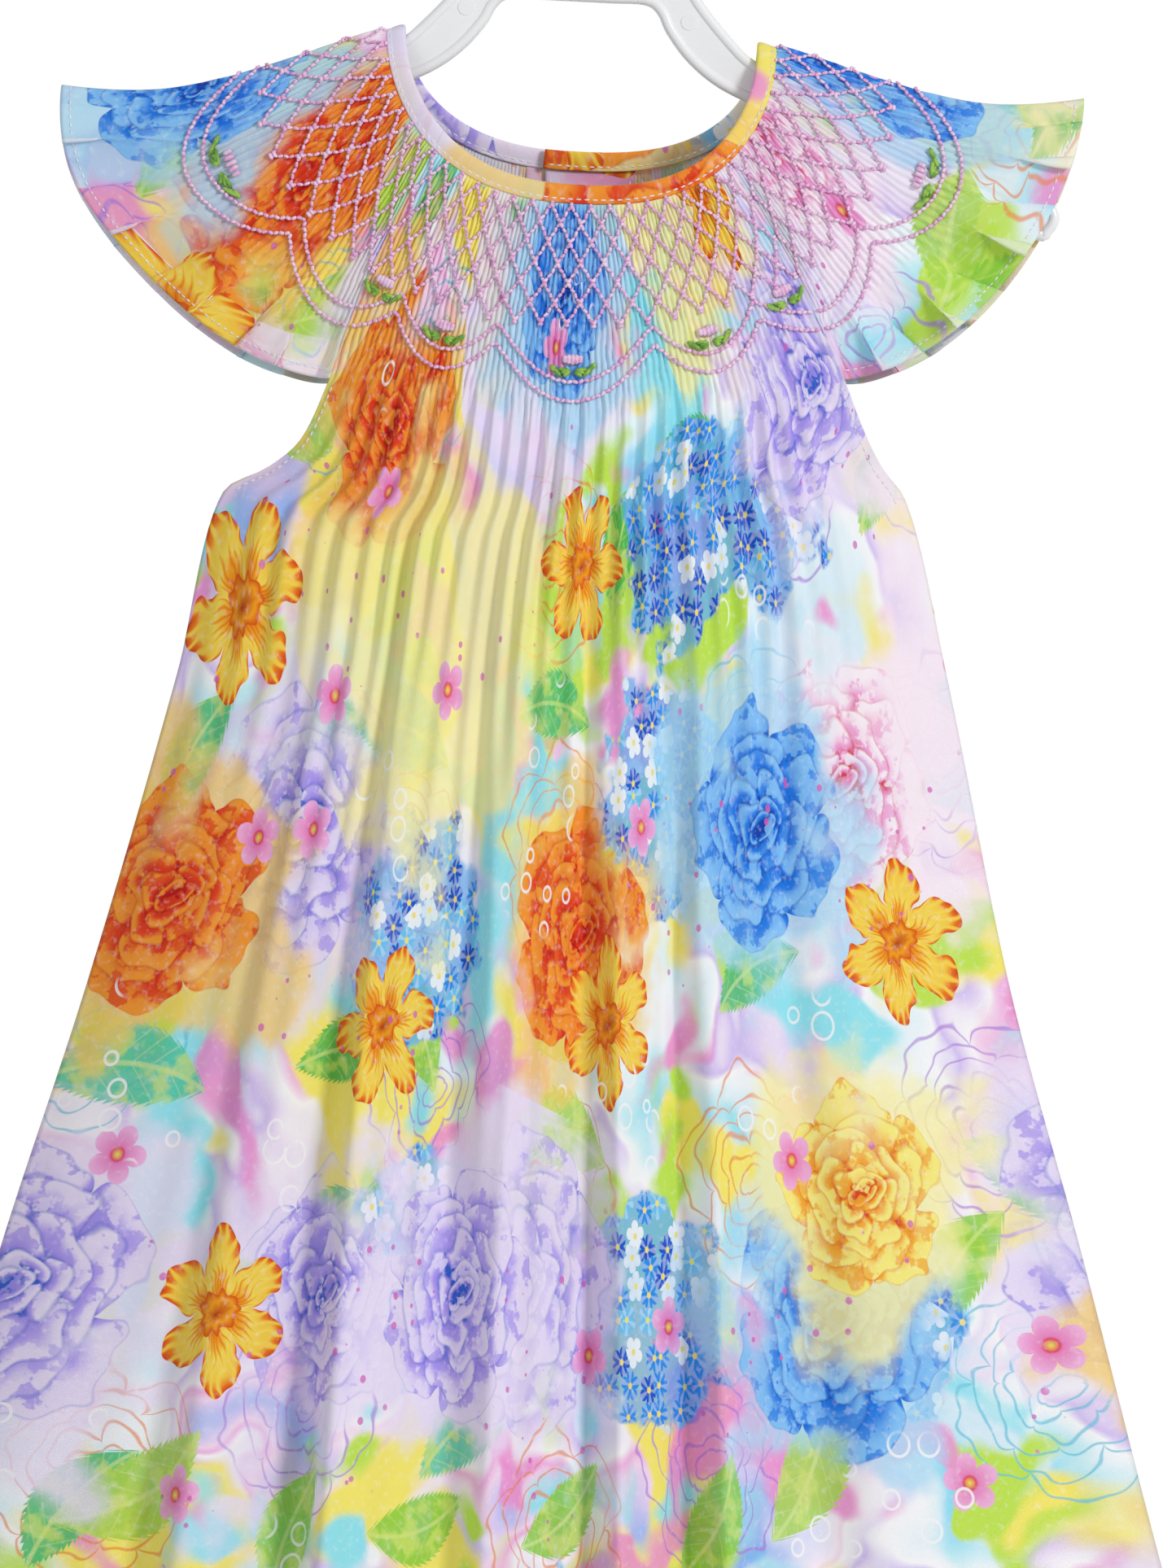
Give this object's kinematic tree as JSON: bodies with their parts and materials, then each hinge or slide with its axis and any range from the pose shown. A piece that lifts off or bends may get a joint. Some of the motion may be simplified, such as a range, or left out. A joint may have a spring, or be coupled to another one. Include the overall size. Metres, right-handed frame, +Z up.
{
  "type": "child's smocked dress on a clothes hanger",
  "caption": "Child's bishop dress with a smocked yoke, flutter sleeves and a full gathered skirt, hanging from a one-piece hanger.",
  "frame": {"origin": "inside the crown of the hanger's hook, where a rail carries it", "axes": "+Z up, the dress's front faces -Y, +X to the right as seen from the front"},
  "size_m": [0.4982, 0.1203, 0.7277],
  "materials": {
    "hanger": "semi-gloss moulded white",
    "neck_binding": "printed cotton lawn, folded",
    "front_panel": "printed cotton lawn, matt",
    "back_left": "printed cotton lawn, matt",
    "back_right": "printed cotton lawn, matt",
    "sleeve_left": "printed cotton lawn, matt",
    "sleeve_right": "printed cotton lawn, matt",
    "placket_over": "printed cotton lawn, matt",
    "placket_under": "printed cotton lawn, matt",
    "button_1": "pearly",
    "button_2": "pearly",
    "button_3": "pearly"
  },
  "bodies": {
    "root": {"hanger": "hanger", "neck_binding": "neck_binding", "front_panel": "front_panel", "back_left": "back_left", "back_right": "back_right", "sleeve_left": "sleeve_left", "sleeve_right": "sleeve_right", "placket_over": "placket_over", "placket_under": "placket_under", "button_1": "button_1", "button_2": "button_2", "button_3": "button_3"}
  },
  "joints": []
}
